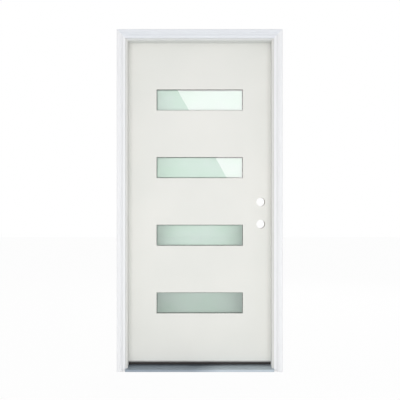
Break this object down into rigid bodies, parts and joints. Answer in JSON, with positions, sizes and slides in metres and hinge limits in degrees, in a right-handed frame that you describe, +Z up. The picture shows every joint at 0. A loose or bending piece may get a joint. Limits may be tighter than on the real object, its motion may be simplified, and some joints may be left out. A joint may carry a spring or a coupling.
{
  "type": "front door",
  "caption": "Prehung inward-opening front door: flush white leaf with stacked horizontal frosted lites, hung on butt hinges in a rebated frame with outside casing and aluminium sill",
  "frame": {"origin": "centre of the sill's underside along the wall, in the plane of the jambs' street edge", "axes": "+X along the wall from the hinge side to the lock side, seen from the street; +Y into the house; +Z up"},
  "size_m": [1.02, 0.165, 2.108],
  "materials": {
    "lite_glass": "satin-etched float glass, pale green",
    "spacer_bar": "mill aluminium spacer",
    "lite_liner": "moulded white surround",
    "hinge_metal": "satin nickel plated steel",
    "leaf_skin": "white primed, smooth",
    "leaf_timber": "primed timber",
    "core_foam": "cut rigid foam",
    "sweep_rubber": "grey flexible extrusion",
    "seal_rubber": "white foam seal in a smooth cover",
    "casing_paint": "white primed moulding, semi-gloss",
    "sill_aluminium": "mill aluminium extrusion",
    "sill_cap_plastic": "dark moulded cap",
    "sill_core": "composite board",
    "jamb_primer": "white primed softwood"
  },
  "bodies": {
    "frame": {"head_brickmould": "casing_paint", "head_jamb": "jamb_primer", "head_weatherstrip": "seal_rubber", "hinge_jamb": "jamb_primer", "hinge_weatherstrip": "seal_rubber", "left_brickmould": "casing_paint", "lower_hinge_jamb_plate": "hinge_metal", "lower_hinge_pin": "hinge_metal", "middle_hinge_jamb_plate": "hinge_metal", "middle_hinge_pin": "hinge_metal", "right_brickmould": "casing_paint", "sill_cap": "sill_cap_plastic", "sill_deck": "sill_aluminium", "sill_substrate": "sill_core", "strike_jamb": "jamb_primer", "strike_weatherstrip": "seal_rubber", "upper_hinge_jamb_plate": "hinge_metal", "upper_hinge_pin": "hinge_metal"},
    "leaf": {"exterior_skin": "leaf_skin", "interior_skin": "leaf_skin", "hinge_stile": "leaf_timber", "lock_stile": "leaf_timber", "top_rail": "leaf_timber", "bottom_rail": "leaf_timber", "foam_core": "core_foam", "bottom_sweep": "sweep_rubber", "bottom_lite_inner_pane": "lite_glass", "bottom_lite_liner": "lite_liner", "bottom_lite_outer_pane": "lite_glass", "bottom_lite_spacer": "spacer_bar", "lower_lite_inner_pane": "lite_glass", "lower_lite_liner": "lite_liner", "lower_lite_outer_pane": "lite_glass", "lower_lite_spacer": "spacer_bar", "top_lite_inner_pane": "lite_glass", "top_lite_liner": "lite_liner", "top_lite_outer_pane": "lite_glass", "top_lite_spacer": "spacer_bar", "upper_lite_inner_pane": "lite_glass", "upper_lite_liner": "lite_liner", "upper_lite_outer_pane": "lite_glass", "upper_lite_spacer": "spacer_bar", "lower_hinge_leaf_plate": "hinge_metal", "middle_hinge_leaf_plate": "hinge_metal", "upper_hinge_leaf_plate": "hinge_metal"}
  },
  "joints": [
    {"name": "leaf_swing", "type": "hinge", "parent": "frame", "child": "leaf", "pos_m": [-0.4566, 0.1269, 1.03], "axis": [0, 0, 1], "range_deg": [0, 110]}
  ]
}
